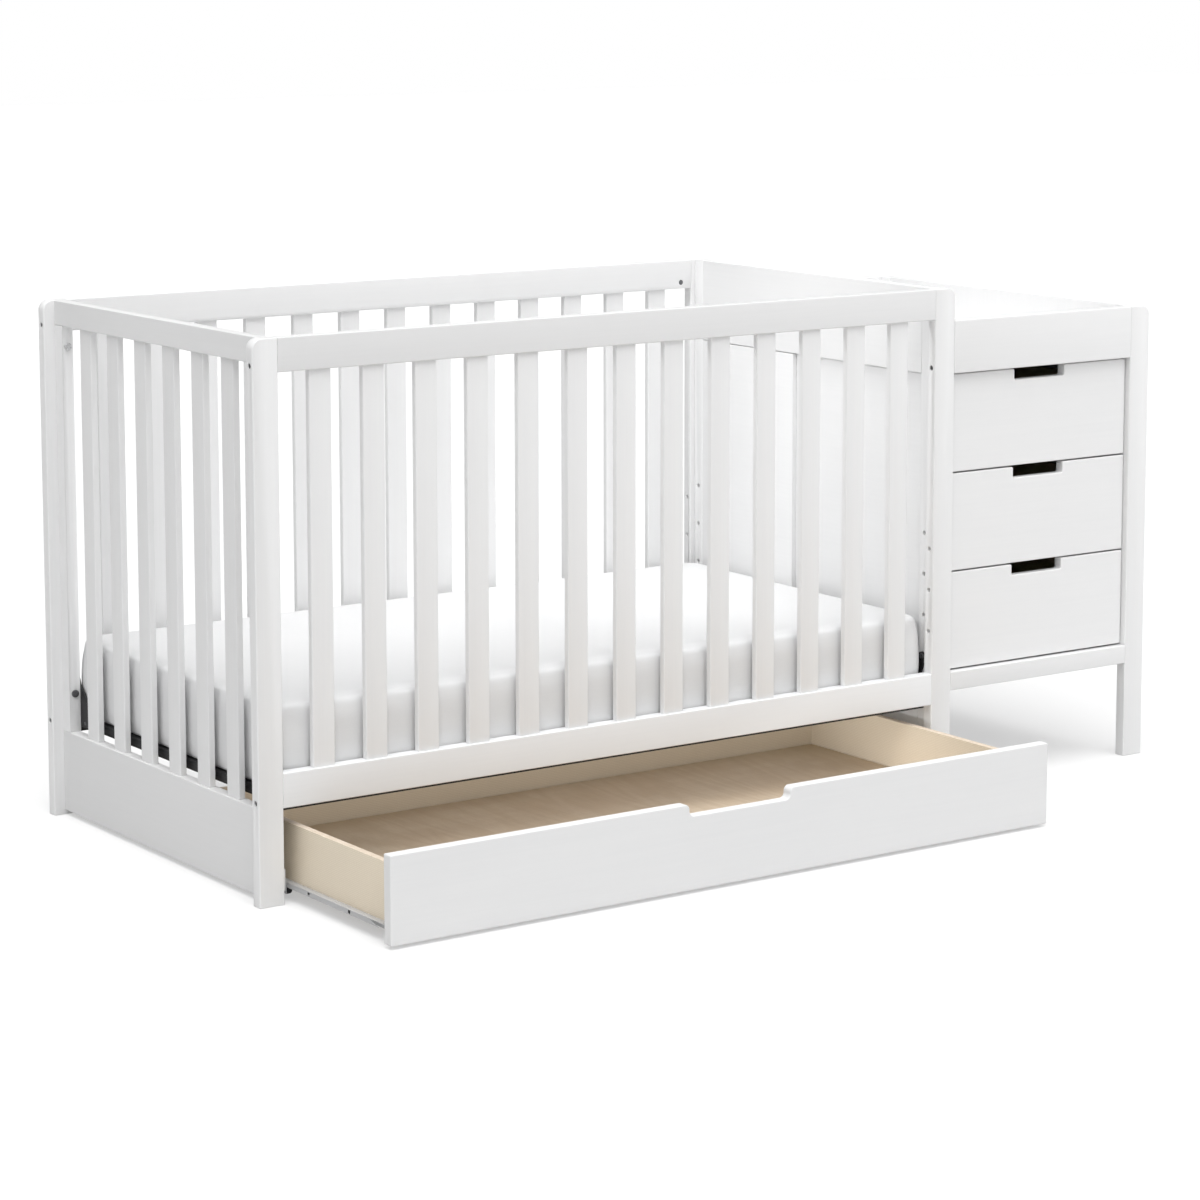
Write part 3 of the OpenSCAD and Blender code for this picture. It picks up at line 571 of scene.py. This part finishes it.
def rail_width(e, c, n1, n2, i):
    """Only the board's own twelve edges are eased; the rims of the bores that cross inside it stay sharp."""
    on = [k for k in range(3) if min(abs(c[k] - i["lo"][k]), abs(c[k] - i["hi"][k])) < 0.0002]
    if len(on) < 2:
        return 0.0
    return 0.0007 if "XYZ".index(i["long"]) in on else 0.002


for n in ("left_front_post", "left_back_post", "right_front_post", "right_back_post",
          "changer_front_post", "changer_back_post"):
    ease(n, "frame", lambda i: lacquer("Z"), width=post_width, rims=0.0004)
for n in ("front_top_rail", "back_top_rail", "front_bottom_rail", "back_bottom_rail",
          "changer_fascia", "changer_back_top_rail", "changer_bottom_rails"):
    ease(n, "frame", lambda i, n=n: lacquer("X", SHADE.get(n, (1.0, 1.0, 1.0))), width=rail_width)
for n in ("front_slats", "back_slats", "left_end_slats"):
    ease(n, "frame", lambda i, n=n: lacquer("Z", SHADE.get(n, (1.0, 1.0, 1.0))), long=0.0020, end=0.0005, seg=4)
for n in ("left_end_stiles", "right_end_stiles", "changer_side_stiles"):
    ease(n, "frame", lambda i: lacquer("Z"), long=0.0018, end=0.0006, rims=0.0004)
ease("left_end_top_rail", "frame", lambda i: lacquer("Y", SHADE["left_end_top_rail"]), long=0.0022, end=0.0006)
ease("left_end_panel", "frame", lambda i: lacquer("Y", SHADE["left_end_panel"]), long=0.0018, end=0.0006)
for n in ("right_end_top_board", "right_end_bottom_board"):
    ease(n, "frame", lambda i: lacquer("Y"), long=0.0014, end=0.0005)
ease("right_end_lower_board", "frame", lambda i: lacquer("Y"), width=plain(0.0006))
ease("right_end_filler_board", "frame", lambda i: lacquer("Y"), width=plain(0.0011))
ease("changer_side_panel", "frame", lambda i: lacquer("Z"), width=plain(0.0009))
ease("changer_back_panel", "frame", lambda i: lacquer("X"), width=plain(0.0006))
ease("changer_deck", "frame", lambda i: lacquer("X"), width=plain(0.0009))
ease("changer_deck_battens", "frame", LAQ, width=plain(0.0010))
ease("changer_bottom_panel", "frame", lambda i: lacquer("X"), width=plain(0.0007))
ease("runner_packers", "frame", LAQ, width=plain(0.0008))

# plywood drawer boxes and bottoms
for d in ("upper_drawer", "middle_drawer", "lower_drawer"):
    ease(d + "_box", d, lambda i: ply(i["long"], i["thick"]), width=plain(0.0007), seg=2)
    ease(d + "_bottom", d, lambda i: ply(i["long"], "Z", "thin"), width=plain(0.0004), seg=2)
ease("trundle_box", "under_drawer", lambda i: ply(i["long"], i["thick"]), width=plain(0.0008))
tb = ease("trundle_bottom", "under_drawer", lambda i: ply("Y", "Z", "thin"), width=plain(0.0012), seg=2)
for v in tb.data.vertices:      # a panel held in a groove leaves a thin dark gap at the sides and the back
    lo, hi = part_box("trundle_bottom")
    v.co.x += 0.0026 if v.co.x < (lo.x + hi.x) / 2 else -0.0026
    if v.co.y > (lo.y + hi.y) / 2:
        v.co.y -= 0.0036
bm = bmesh.new()                # its rim is rabbeted to fit the groove, which shows as a fine shadow line
bm.from_mesh(tb.data)
face = max(bm.faces, key=lambda q: q.normal.z * q.calc_area())
for step in (0.0036, 0.0003):
    bmesh.ops.inset_region(bm, faces=[face], thickness=step, use_even_offset=True)
top = set(face.verts)
for v in bm.verts:
    if v not in top and v.co.z > (lo.z + hi.z) / 2:
        v.co.z -= 0.0017
bm.to_mesh(tb.data)
bm.free()

# steel
ease("mattress_support_frame", "frame", lambda i: powder_black(), width=plain(0.0006), rims=0.0002)
ease("mattress_support_straps", "frame", lambda i: powder_black(), width=plain(0.0005))
ease("hanger_brackets", "frame", lambda i: powder_black(), width=plain(0.0006), rims=0.0003)
ease("hanger_bolts", "frame", lambda i: dark_zinc(), width=plain(0.0003), rims=0.00035, seg=2)
ease("connector_bolts", "frame", lambda i: bright_zinc() if i["long"] == "Y" and i["lo"].z > 0.5 else dark_zinc(), width=plain(0.0003), rims=0.00035, seg=2)
ease("barrel_nuts", "frame", lambda i: dark_zinc(), width=plain(0.0002), rims=0.0003, seg=2)
ease("dowel_pins", "frame", lambda i: beech(), width=plain(0.0003), rims=0.0005, seg=2)
ease("fixed_runners", "frame", lambda i: epoxy_steel(), width=plain(0.0003), rims=0.0002, seg=2)
ease("runner_glides", "frame", lambda i: nylon("white"), width=plain(0.0003), rims=0.0003, seg=2)
for d in ("upper_drawer", "middle_drawer", "lower_drawer"):
    ease(d + "_runners", d, lambda i: epoxy_steel(), width=plain(0.0003), rims=0.0002, seg=2)
ease("trundle_runners", "under_drawer", lambda i: epoxy_steel(), width=plain(0.0003), rims=0.0002, seg=2)


# ------------------------------------------------------------------ drawer fronts
def outline(x0, x1, z0, z1, corner, w, d, r1, r2, n=6):
    """Counter-clockwise in X and Z, seen from the front: a board with a finger notch in its top edge."""
    pts = []

    def arc(cx, cz, r, a0, a1, m):
        for k in range(m + 1):
            a = math.radians(a0 + (a1 - a0) * k / m)
            pts.append((cx + r * math.cos(a), cz + r * math.sin(a)))

    xc = (x0 + x1) / 2
    arc(x0 + corner, z0 + corner, corner, 180, 270, n)
    arc(x1 - corner, z0 + corner, corner, 270, 360, n)
    arc(x1 - corner, z1 - corner, corner, 0, 90, n)
    arc(xc + w / 2 + r2, z1 - r2, r2, 90, 180, n + 2)
    arc(xc + w / 2 - r1, z1 - d + r1, r1, 360, 270, n + 4)
    arc(xc - w / 2 + r1, z1 - d + r1, r1, 270, 180, n + 4)
    arc(xc - w / 2 - r2, z1 - r2, r2, 0, 90, n + 2)
    arc(x0 + corner, z1 - corner, corner, 90, 180, n)
    out = []
    for p in pts:
        if not out or math.dist(p, out[-1]) > 1e-4:
            out.append(p)
    if math.dist(out[0], out[-1]) < 1e-4:
        out.pop()
    return out


def inset(pts, d):
    out, m = [], len(pts)
    for i in range(m):
        ax, az = pts[i - 1]
        bx, bz = pts[i]
        cx, cz = pts[(i + 1) % m]
        t0 = Vector((bx - ax, bz - az)).normalized()
        t1 = Vector((cx - bx, cz - bz)).normalized()
        n0, n1 = Vector((-t0.y, t0.x)), Vector((-t1.y, t1.x))
        n = (n0 + n1).normalized()
        s = (d[i] if isinstance(d, list) else d) / max(0.35, n.dot(n0))
        out.append((bx + n.x * s, bz + n.y * s))
    return out


def front_board(node, body, pts, y0, y1, rf, rb, shift_y=0.0, n=5):
    rings = []
    for k in range(n + 1):
        a = math.pi / 2 * k / n
        rings.append((rf * (1 - math.sin(a)), y0 + rf * (1 - math.cos(a))))
    for k in range(4):
        a = math.pi / 2 * k / 3
        rings.append((rb * (1 - math.cos(a)), y1 - rb * (1 - math.sin(a))))
    bm = bmesh.new()
    loops = []
    for d, y in rings:
        loops.append([bm.verts.new(P(px, y + shift_y, pz)) for px, pz in inset(pts, d)])
    m = len(pts)
    for a, b in zip(loops, loops[1:]):
        for i in range(m):
            bm.faces.new((a[i], a[(i + 1) % m], b[(i + 1) % m], b[i]))
    bm.faces.new(list(reversed(loops[0])))
    bm.faces.new(loops[-1])
    bmesh.ops.recalc_face_normals(bm, faces=bm.faces)
    me = bpy.data.meshes.new(node + "_piece")
    bm.to_mesh(me)
    bm.free()
    ob = link(node + "_piece", me, body, [lacquer("X", SHADE.get(node, (1.0, 1.0, 1.0)))])
    finish_mesh(ob)
    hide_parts(node)
    return ob


for i, d in enumerate(("lower_drawer", "middle_drawer", "upper_drawer")):
    lo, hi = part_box(d + "_front")
    z0, z1 = lo.z * 1000, hi.z * 1000
    front_board(d + "_front", d, outline(1422, 1843, z0, z1, 2.2, 120, 20, 4, 3), 12, 30, 1.8, 0.8)
front_board("trundle_front", "under_drawer", outline(49, 1371, 5, 147, 2.6, 203, 20, 9, 9), 0, 19, 2.0, 1.0, shift_y=-316)


# ------------------------------------------------------------------ rollers
def roller(name, node, body, xs, y, z, r, bore=2.6):
    """A pair of nylon rollers: a slight crown on the tread, a recessed web with a hub, and a bore for the axle."""
    bm = bmesh.new()
    for x0, x1, side in xs:
        w = x1 - x0
        # half profile: (distance along the axle from x0, radius), from the bore round to the bore again
        prof = [(0.0, bore), (0.0, bore + 1.6), (0.35, bore + 1.9), (1.3, bore + 2.1), (1.3, r - 2.3),
                (0.25, r - 2.0), (0.0, r - 1.7), (0.0, r - 0.7), (0.2, r - 0.22), (0.7, r - 0.06), (w / 2, r),
                (w - 0.7, r - 0.06), (w - 0.2, r - 0.22), (w, r - 0.7), (w, r - 1.7), (w - 0.25, r - 2.0),
                (w - 1.3, r - 2.3), (w - 1.3, bore + 2.1), (w - 0.35, bore + 1.9), (w, bore + 1.6), (w, bore)]
        n = 64
        grid = []
        for k in range(n):
            a = 2 * math.pi * k / n
            grid.append([bm.verts.new(P(x0 + px, y + pr * math.cos(a), z + pr * math.sin(a))) for px, pr in prof])
        m = len(prof)
        for k in range(n):
            for j in range(m):
                bm.faces.new((grid[k][j], grid[(k + 1) % n][j], grid[(k + 1) % n][(j + 1) % m], grid[k][(j + 1) % m]))
    bmesh.ops.recalc_face_normals(bm, faces=bm.faces)
    me = bpy.data.meshes.new(name)
    bm.to_mesh(me)
    bm.free()
    ob = link(name, me, body, [nylon("black")])
    for p in ob.data.polygons:
        p.use_smooth = True
    s = ob.modifiers.new("sharp", "WEIGHTED_NORMAL")
    s.keep_sharp = False
    apply_all(ob)
    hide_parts(node)
    return ob


for node, body in (("trundle_front_rollers", "front_rollers"), ("trundle_rear_rollers", "rear_rollers")):
    co = np.array([v.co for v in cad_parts[node].data.vertices])
    left = co[co[:, 0] < 0.0 - 0.2]
    right = co[co[:, 0] > 0.0 + 0.2] if (co[:, 0] > 0.2).any() else co[co[:, 0] > left[:, 0].max() + 0.1]
    xs = []
    for c in (left, right):
        xs.append((c[:, 0].min() * 1000 + 945, c[:, 0].max() * 1000 + 945, 1))
    y = (left[:, 1].min() + left[:, 1].max()) / 2 * 1000 + 219.5
    z = (left[:, 2].min() + left[:, 2].max()) / 2 * 1000
    r = (left[:, 2].max() - left[:, 2].min()) / 2 * 1000
    roller(node + "_piece", node, body, xs, y, z, r)


# ------------------------------------------------------------------ mattress
def rounded_plan(x0, x1, y0, y1, r, step):
    pts = []
    n = max(10, int(r * math.pi / 2 / step))

    def line(a, b):
        m = max(1, int(math.dist(a, b) / step))
        for k in range(1, m):
            pts.append((a[0] + (b[0] - a[0]) * k / m, a[1] + (b[1] - a[1]) * k / m))

    corners = [(x1 - r, y0 + r, -90), (x1 - r, y1 - r, 0), (x0 + r, y1 - r, 90), (x0 + r, y0 + r, 180)]
    for i, (cx, cy, a0) in enumerate(corners):
        for k in range(n + 1):
            a = math.radians(a0 + 90 * k / n)
            pts.append((cx + r * math.cos(a), cy + r * math.sin(a)))
        nx, ny, na = corners[(i + 1) % 4]
        a = math.radians(a0 + 90)
        line((cx + r * math.cos(a), cy + r * math.sin(a)), (nx + r * math.cos(a), ny + r * math.sin(a)))
    return pts


def mattress():
    lo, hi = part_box("mattress")
    x0, x1 = lo.x * 1000 + 945, hi.x * 1000 + 945
    y0, y1 = lo.y * 1000 + 219.5, hi.y * 1000 + 219.5
    z0, z1 = lo.z * 1000, hi.z * 1000
    gap = 1.2
    rp = 15.0
    plan = rounded_plan(x0 + gap, x1 - gap, y0 + gap, y1 - gap, rp, 9.0)
    h = z1 - 1.0 - z0
    rt, rb = 8.0, 4.0

    def near_corner(px, py):
        dx = min(px - x0, x1 - px)
        dy = min(py - y0, y1 - py)
        t = max(0.0, min(1.0, (max(dx, dy) - 8.0) / 62.0))
        return (1.0 - t * t * (3 - 2 * t)) ** 2

    near = [near_corner(px, py) for px, py in plan]
    # the filling bulges: the sides lean in a little at the top and bottom, and the upright corners more so
    prof = []
    for k in range(6):
        a = math.pi / 2 * k / 5
        prof.append((rb * (1 - math.sin(a)), z0 + rb * (1 - math.cos(a))))
    for k in range(1, 16):
        prof.append((0.0, z0 + rb + (h - rb - rt) * k / 16))
    for k in range(8):
        a = math.pi / 2 * k / 7
        prof.append((rt * (1 - math.cos(a)), z0 + h - rt + rt * math.sin(a)))
    bm = bmesh.new()
    loops = []
    for d, z in prof:
        t = (z - z0) / h
        lean = abs((t - 0.42) / 0.58) ** 2.4 if t > 0.42 else abs((t - 0.42) / 0.42) ** 2.6 * 0.8
        loops.append([bm.verts.new(P(px, py, z)) for px, py in inset(plan, [d + lean * (0.9 + 9.0 * q) for q in near])])
    m = len(plan)
    for a, b in zip(loops, loops[1:]):
        for i in range(m):
            bm.faces.new((a[i], a[(i + 1) % m], b[(i + 1) % m], b[i]))
    bm.faces.new(list(reversed(loops[0])))
    bm.faces.new(loops[-1])
    bmesh.ops.recalc_face_normals(bm, faces=bm.faces)
    me = bpy.data.meshes.new("mattress_pad_cover")
    bm.to_mesh(me)
    bm.free()
    ob = bpy.data.objects.new("mattress_pad_cover", me)
    scene.collection.objects.link(ob)
    me.materials.append(cover())
    size = 0.006
    rm = ob.modifiers.new("even", "REMESH")
    rm.mode = "VOXEL"
    rm.voxel_size = size
    apply_all(ob)
    base = np.array([v.co for v in ob.data.vertices])
    grp = ob.vertex_groups.new(name="pin")
    zb = z0 / 1000 + 0.004
    grp.add([int(i) for i in np.where(base[:, 2] < zb)[0]], 1.0, "REPLACE")
    cl = ob.modifiers.new("cloth", "CLOTH")
    s = cl.settings
    s.quality = 4
    s.mass = 0.35
    s.tension_stiffness = 14
    s.compression_stiffness = 12
    s.shear_stiffness = 6
    s.bending_stiffness = 12
    s.vertex_group_mass = "pin"
    s.use_pressure = True
    s.uniform_pressure_force = 1.1
    s.effector_weights.gravity = 0
    cl.collision_settings.use_collision = False
    cl.point_cache.frame_start, cl.point_cache.frame_end = 1, 20
    scene.frame_start, scene.frame_end = 1, 20
    for f in range(1, 17):
        scene.frame_set(f)
    dg = bpy.context.evaluated_depsgraph_get()
    ev = ob.evaluated_get(dg)
    now = np.array([v.co for v in ev.data.vertices])
    ob.modifiers.clear()
    scene.frame_set(1)
    move = now - base
    far = np.linalg.norm(move, axis=1)
    cap = 0.0022
    scale = np.where(far > 1e-9, cap * np.tanh(far / cap) / np.maximum(far, 1e-9), 1.0)
    co = base + move * scale[:, None]
    # the room that the frame leaves it
    a, b = P(x0 - 2.0, y0 - 2.0, z0), P(x1 + 2.0, y1 + 2.0, z1 + 3.0)
    for i in range(3):
        co[:, i] = np.clip(co[:, i], a[i], b[i])
    ob.data.vertices.foreach_set("co", co.astype(np.float32).ravel())
    ob.data.update()
    sm = ob.modifiers.new("smooth", "SMOOTH")
    sm.factor = 0.5
    sm.iterations = 4
    sb = ob.modifiers.new("sub", "SUBSURF")
    sb.levels = sb.render_levels = 1
    apply_all(ob)
    for p in ob.data.polygons:
        p.use_smooth = True
    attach(ob, "mattress_pad")
    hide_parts("mattress")
    return ob


mattress()


# ------------------------------------------------------------------ floor, light and camera
def floor():
    me = bpy.data.meshes.new("studio_floor")
    bm = bmesh.new()
    s = 26.0
    vs = [bm.verts.new((x * s, y * s, -0.0006)) for x, y in ((-1, -1), (1, -1), (1, 1), (-1, 1))]
    bm.faces.new(vs)
    bm.to_mesh(me)
    bm.free()
    ob = bpy.data.objects.new("studio_floor", me)
    scene.collection.objects.link(ob)
    m = Mat("studio_floor")
    cloud = m.noise(m.pos(), 0.8, 2.0, 0.5)
    m.color(m.mix(m.ramp(cloud, 0.3, 0.7), (0.495, 0.495, 0.495), (0.505, 0.505, 0.505)))
    m.rough(m.ramp(cloud, 0.3, 0.7, 0.85, 0.9))
    m.b.inputs["Specular IOR Level"].default_value = 0.1
    # a lit studio floor: it glows to white for the picture and throws less back on the object
    m.set(Emission_Color=(1.0, 1.0, 1.0, 1.0), Emission_Strength=0.43)
    grey = m.nt.nodes.new("ShaderNodeBsdfDiffuse")
    grey.inputs["Color"].default_value = (0.52, 0.52, 0.52, 1.0)
    glow = m.nt.nodes.new("ShaderNodeEmission")
    glow.inputs["Strength"].default_value = 0.10
    low = m.nt.nodes.new("ShaderNodeAddShader")
    m.nt.links.new(grey.outputs[0], low.inputs[0])
    m.nt.links.new(glow.outputs[0], low.inputs[1])
    ray = m.nt.nodes.new("ShaderNodeLightPath")
    both = m.nt.nodes.new("ShaderNodeMixShader")
    m.nt.links.new(ray.outputs["Is Camera Ray"], both.inputs[0])
    m.nt.links.new(low.outputs[0], both.inputs[1])
    m.nt.links.new(m.b.outputs[0], both.inputs[2])
    m.nt.links.new(both.outputs[0], m.out.inputs[0])
    me.materials.append(m.m)


floor()

world = bpy.data.worlds.new("studio")
scene.world = world
world.use_nodes = True
wt = world.node_tree
wt.nodes.clear()
wo = wt.nodes.new("ShaderNodeOutputWorld")
mixs = wt.nodes.new("ShaderNodeMixShader")
lp = wt.nodes.new("ShaderNodeLightPath")
bg1 = wt.nodes.new("ShaderNodeBackground")
bg2 = wt.nodes.new("ShaderNodeBackground")
tc = wt.nodes.new("ShaderNodeTexCoord")
sky_axis = Vector((-0.19, -0.36, 0.80)).normalized()


def wdot(v):
    n = wt.nodes.new("ShaderNodeVectorMath")
    n.operation = "DOT_PRODUCT"
    n.inputs[1].default_value = v
    wt.links.new(tc.outputs["Generated"], n.inputs[0])
    return n.outputs["Value"]


def wmath(op, a, b):
    n = wt.nodes.new("ShaderNodeMath")
    n.operation = op
    for s, v in zip(n.inputs, (a, b)):
        if hasattr(v, "is_linked"):
            wt.links.new(v, s)
        else:
            s.default_value = v
    return n.outputs[0]


key_lobe = wmath("ADD", wmath("MULTIPLY", wmath("POWER", wmath("MAXIMUM", wdot(sky_axis), 0.0), 9.0), 4.0),
                 wmath("MULTIPLY", wmath("POWER", wmath("MAXIMUM", wdot((0, 0, 1)), 0.0), 8.0), 2.0))
slope = wmath("ADD", wdot((-0.01, -0.105, 0.04)), 0.290)
wt.links.new(wmath("ADD", wmath("MAXIMUM", slope, 0.02), key_lobe), bg1.inputs["Strength"])
bg1.inputs["Color"].default_value = (1.0, 1.0, 1.0, 1.0)
bg2.inputs["Color"].default_value = (1.0, 1.0, 1.0, 1.0)
bg2.inputs["Strength"].default_value = 1.0
wt.links.new(lp.outputs["Is Camera Ray"], mixs.inputs[0])
wt.links.new(bg1.outputs[0], mixs.inputs[1])
wt.links.new(bg2.outputs[0], mixs.inputs[2])
wt.links.new(mixs.outputs[0], wo.inputs[0])


def area(name, where, to, size, power, colour=(1, 1, 1)):
    d = bpy.data.lights.new(name, "AREA")
    d.shape = "RECTANGLE"
    d.size, d.size_y = size
    d.energy = power
    d.color = colour
    ob = bpy.data.objects.new(name, d)
    scene.collection.objects.link(ob)
    ob.location = where
    ob.rotation_mode = "QUATERNION"
    ob.rotation_quaternion = (Vector(to) - Vector(where)).to_track_quat("-Z", "Y")
    ob.visible_camera = False
    return ob


crib_box = area("crib_softbox", (-2.60, 0.30, 2.30), (0.50, 0.16, 0.82), (0.3, 0.3), 0.95)
crib_box.data.spread = math.radians(28)
area("changer_softbox", P(2500, -1500, 1500), P(1640, 0, 470), (0.9, 0.9), 3.6)

fill = area("drawer_fill", P(712, 190, 149), P(712, 190, 0), (1.24, 0.36), 0.68)
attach(fill, "under_drawer")
wall_fill = area("drawer_wall_fill", P(760, -90, 112), P(1346, 70, 60), (0.15, 0.03), 0.07)
wall_fill.data.spread = math.radians(50)
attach(wall_fill, "under_drawer")

cam_data = bpy.data.cameras.new("camera")
cam = bpy.data.objects.new("camera", cam_data)
scene.collection.objects.link(cam)
scene.camera = cam
yaw, pitch, roll = math.radians(34.67), math.radians(7.68), math.radians(-0.07)
f = Vector((math.sin(yaw) * math.cos(pitch), math.cos(yaw) * math.cos(pitch), -math.sin(pitch)))
R = Vector((math.cos(yaw), -math.sin(yaw), 0.0))
U = R.cross(f)
R2 = R * math.cos(roll) + U * math.sin(roll)
U2 = -R * math.sin(roll) + U * math.cos(roll)
m4 = Matrix.Identity(4)
for i in range(3):
    m4[i][0], m4[i][1], m4[i][2] = R2[i], U2[i], -f[i]
m4.translation = P(-2616.13, -4726.92, 1503.49)
cam.matrix_world = m4
cam_data.sensor_fit = "AUTO"
cam_data.sensor_width = 36.0
cam_data.lens = 3502.05 * 36.0 / 1200.0
cam_data.shift_x = 0.0
cam_data.shift_y = -0.15
cam_data.clip_start, cam_data.clip_end = 0.1, 100.0
cam_data.dof.use_dof = False

scene.view_settings.view_transform = "Standard"
scene.view_settings.look = "None"
scene.view_settings.exposure = 0.0
scene.view_settings.gamma = 1.0
